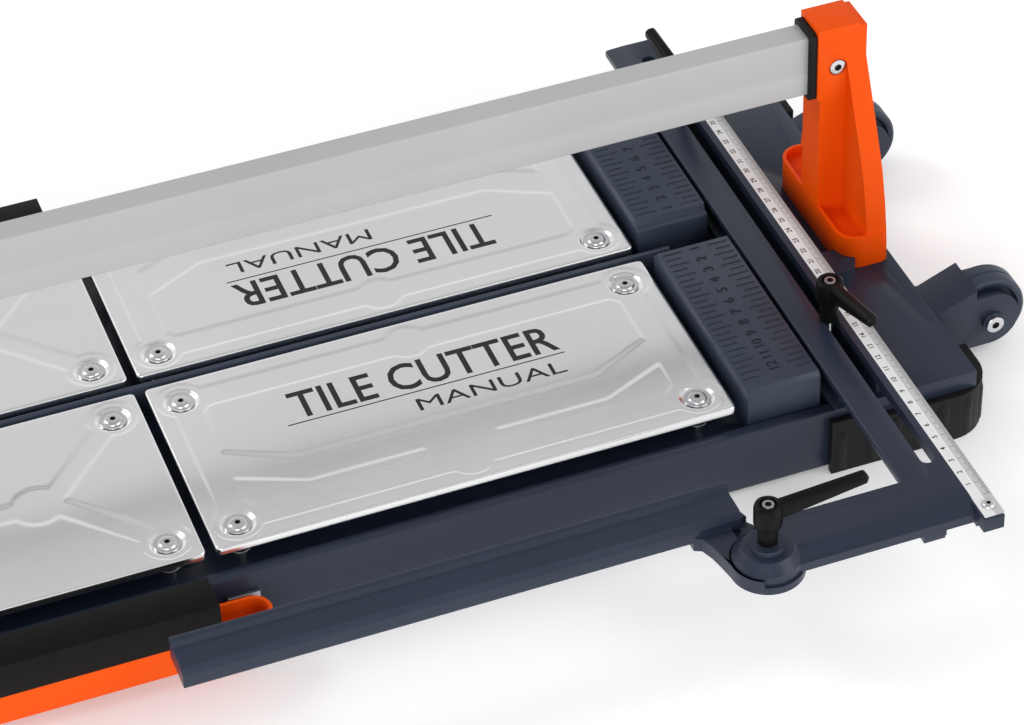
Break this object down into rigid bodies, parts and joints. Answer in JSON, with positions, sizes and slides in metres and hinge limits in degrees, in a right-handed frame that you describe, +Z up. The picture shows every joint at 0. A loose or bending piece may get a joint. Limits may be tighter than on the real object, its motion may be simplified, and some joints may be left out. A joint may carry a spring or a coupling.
{
  "type": "manual tile cutter",
  "caption": "Long manual tile cutter with a sprung table, guide rail on posts, lever-operated scoring carriage, sliding ruler fence with mitre arm, side supports and wheels.",
  "frame": {"origin": "on the floor, at the middle of the rubber foot under the middle of the base", "axes": "+X along the rail towards the measuring fence, +Y across the table away from the mitre arm, +Z up"},
  "size_m": [1.5616, 0.4661, 0.3644],
  "materials": {
    "navy_paint": "satin",
    "navy_plastic": "matte",
    "rubber_black": "matte",
    "orange_cast": "satin",
    "orange_channel": "satin",
    "black_plastic": "satin",
    "steel_bright": "bright",
    "steel_plate": "satin",
    "rail_alu": "satin",
    "ruler_face": "satin"
  },
  "bodies": {
    "base": {"base_tray": "navy_paint", "spine_beam": "navy_paint", "breaking_rib": "navy_plastic", "end_plate_right": "navy_paint", "end_plate_left": "navy_paint", "rubber_feet": "rubber_black", "scale_block_near": "navy_plastic", "scale_block_far": "navy_plastic", "plate_screws": "steel_bright", "table_springs": "steel_bright", "support_brackets": "steel_bright", "support_bolts": "steel_bright", "post_right": "orange_cast", "post_left": "orange_cast", "post_bolts": "steel_bright", "rail": "rail_alu", "rail_gaskets": "rubber_black", "rail_screws": "steel_bright", "wheel_bracket_near": "navy_paint", "wheel_bracket_far": "navy_paint", "wheel_bolts": "steel_bright", "fence_studs": "steel_bright"},
    "plate_near_1": {"plate_near_1": "steel_plate"},
    "plate_near_2": {"plate_near_2": "steel_plate"},
    "plate_near_3": {"plate_near_3": "steel_plate"},
    "plate_near_4": {"plate_near_4": "steel_plate"},
    "plate_far_1": {"plate_far_1": "steel_plate"},
    "plate_far_2": {"plate_far_2": "steel_plate"},
    "plate_far_3": {"plate_far_3": "steel_plate"},
    "plate_far_4": {"plate_far_4": "steel_plate"},
    "support_near_right": {"support_channel_near_right": "orange_channel", "support_pad_near_right": "black_plastic"},
    "support_near_left": {"support_channel_near_left": "orange_channel", "support_pad_near_left": "black_plastic"},
    "support_far_right": {"support_channel_far_right": "orange_channel", "support_pad_far_right": "black_plastic"},
    "support_far_left": {"support_channel_far_left": "orange_channel", "support_pad_far_left": "black_plastic"},
    "wheel_near": {"wheel_near": "navy_plastic"},
    "wheel_far": {"wheel_far": "navy_plastic"},
    "fence": {"fence_bar": "navy_paint", "ruler_strip": "ruler_face", "ruler_screws": "steel_bright", "arm_pivot_bolt": "steel_bright"},
    "slot_lever_near": {"clamp_lever_near": "black_plastic"},
    "slot_lever_far": {"clamp_lever_far": "black_plastic"},
    "arm": {"swing_arm": "navy_paint"},
    "arm_lever": {"arm_clamp_lever": "black_plastic"},
    "carriage": {"carriage_body": "navy_paint", "roller_axles": "steel_bright", "handle_pin": "steel_bright"},
    "roller_rear": {"guide_roller_rear": "steel_bright"},
    "roller_front": {"guide_roller_front": "steel_bright"},
    "roller_top": {"guide_roller_top": "steel_bright"},
    "handle": {"handle_yoke": "orange_cast", "handle_tube": "steel_bright", "handle_grip": "black_plastic", "head_pins": "steel_bright"},
    "scoring_wheel": {"scoring_wheel": "steel_bright"},
    "breaker": {"breaker_foot": "orange_cast"}
  },
  "joints": [
    {"name": "plate_near_1_press", "type": "slide", "parent": "base", "child": "plate_near_1", "axis": [0, 0, 1], "range_m": [-0.003, 0], "stiffness_N_per_m": 20000, "springref_m": 0.002, "deforming": ["table_springs"]},
    {"name": "plate_near_2_press", "type": "slide", "parent": "base", "child": "plate_near_2", "axis": [0, 0, 1], "range_m": [-0.003, 0], "stiffness_N_per_m": 20000, "springref_m": 0.002, "deforming": ["table_springs"]},
    {"name": "plate_near_3_press", "type": "slide", "parent": "base", "child": "plate_near_3", "axis": [0, 0, 1], "range_m": [-0.003, 0], "stiffness_N_per_m": 20000, "springref_m": 0.002, "deforming": ["table_springs"]},
    {"name": "plate_near_4_press", "type": "slide", "parent": "base", "child": "plate_near_4", "axis": [0, 0, 1], "range_m": [-0.003, 0], "stiffness_N_per_m": 20000, "springref_m": 0.002, "deforming": ["table_springs"]},
    {"name": "plate_far_1_press", "type": "slide", "parent": "base", "child": "plate_far_1", "axis": [0, 0, 1], "range_m": [-0.003, 0], "stiffness_N_per_m": 20000, "springref_m": 0.002, "deforming": ["table_springs"]},
    {"name": "plate_far_2_press", "type": "slide", "parent": "base", "child": "plate_far_2", "axis": [0, 0, 1], "range_m": [-0.003, 0], "stiffness_N_per_m": 20000, "springref_m": 0.002, "deforming": ["table_springs"]},
    {"name": "plate_far_3_press", "type": "slide", "parent": "base", "child": "plate_far_3", "axis": [0, 0, 1], "range_m": [-0.003, 0], "stiffness_N_per_m": 20000, "springref_m": 0.002, "deforming": ["table_springs"]},
    {"name": "plate_far_4_press", "type": "slide", "parent": "base", "child": "plate_far_4", "axis": [0, 0, 1], "range_m": [-0.003, 0], "stiffness_N_per_m": 20000, "springref_m": 0.002, "deforming": ["table_springs"]},
    {"name": "support_near_right_swing", "type": "hinge", "parent": "base", "child": "support_near_right", "pos_m": [0.309, -0.172, 0.014], "axis": [0, 0, 1], "range_deg": [0, 90]},
    {"name": "support_near_left_swing", "type": "hinge", "parent": "base", "child": "support_near_left", "pos_m": [-0.309, -0.172, 0.014], "axis": [0, 0, -1], "range_deg": [0, 90]},
    {"name": "support_far_right_swing", "type": "hinge", "parent": "base", "child": "support_far_right", "pos_m": [0.309, 0.172, 0.014], "axis": [0, 0, -1], "range_deg": [0, 90]},
    {"name": "support_far_left_swing", "type": "hinge", "parent": "base", "child": "support_far_left", "pos_m": [-0.309, 0.172, 0.014], "axis": [0, 0, 1], "range_deg": [0, 90]},
    {"name": "wheel_near_spin", "type": "hinge", "parent": "base", "child": "wheel_near", "pos_m": [0.766, -0.086, 0.0257], "axis": [0, 1, 0], "continuous": true},
    {"name": "wheel_far_spin", "type": "hinge", "parent": "base", "child": "wheel_far", "pos_m": [0.766, 0.086, 0.0257], "axis": [0, 1, 0], "continuous": true},
    {"name": "fence_slide", "type": "slide", "parent": "base", "child": "fence", "axis": [0, 1, 0], "range_m": [-0.05, 0.06]},
    {"name": "slot_lever_near_turn", "type": "hinge", "parent": "base", "child": "slot_lever_near", "pos_m": [0.663, -0.105, 0.064], "axis": [0, 0, 1], "range_deg": [-90, 90]},
    {"name": "slot_lever_far_turn", "type": "hinge", "parent": "base", "child": "slot_lever_far", "pos_m": [0.663, 0.105, 0.064], "axis": [0, 0, 1], "range_deg": [-90, 90]},
    {"name": "arm_swing", "type": "hinge", "parent": "fence", "child": "arm", "pos_m": [0.559, -0.26, 0.052], "axis": [0, 0, 1], "range_deg": [-45, 45]},
    {"name": "arm_lever_turn", "type": "hinge", "parent": "fence", "child": "arm_lever", "pos_m": [0.559, -0.26, 0.066], "axis": [0, 0, 1], "range_deg": [-90, 90]},
    {"name": "carriage_slide", "type": "slide", "parent": "base", "child": "carriage", "axis": [1, 0, 0], "range_m": [-0.14, 0.98]},
    {"name": "roller_rear_roll", "type": "hinge", "parent": "carriage", "child": "roller_rear", "pos_m": [-0.446, 0, 0.13195], "axis": [0, 1, 0], "continuous": true},
    {"name": "roller_front_roll", "type": "hinge", "parent": "carriage", "child": "roller_front", "pos_m": [-0.394, 0, 0.13195], "axis": [0, 1, 0], "continuous": true},
    {"name": "roller_top_roll", "type": "hinge", "parent": "carriage", "child": "roller_top", "pos_m": [-0.42, 0, 0.18805], "axis": [0, 1, 0], "continuous": true},
    {"name": "handle_lift", "type": "hinge", "parent": "carriage", "child": "handle", "pos_m": [-0.42, 0, 0.112], "axis": [0, 1, 0], "range_deg": [0, 40]},
    {"name": "scoring_wheel_spin", "type": "hinge", "parent": "handle", "child": "scoring_wheel", "pos_m": [-0.44, 0, 0.068], "axis": [0, 1, 0], "continuous": true},
    {"name": "breaker_tilt", "type": "hinge", "parent": "handle", "child": "breaker", "pos_m": [-0.466, 0, 0.08], "axis": [0, 1, 0], "range_deg": [-20, 20]}
  ],
  "couplings": [
    {"joint": "roller_rear_roll", "follows": "carriage_slide", "rad_per_m": -111.11},
    {"joint": "roller_front_roll", "follows": "carriage_slide", "rad_per_m": -111.11},
    {"joint": "roller_top_roll", "follows": "carriage_slide", "rad_per_m": 111.11}
  ]
}
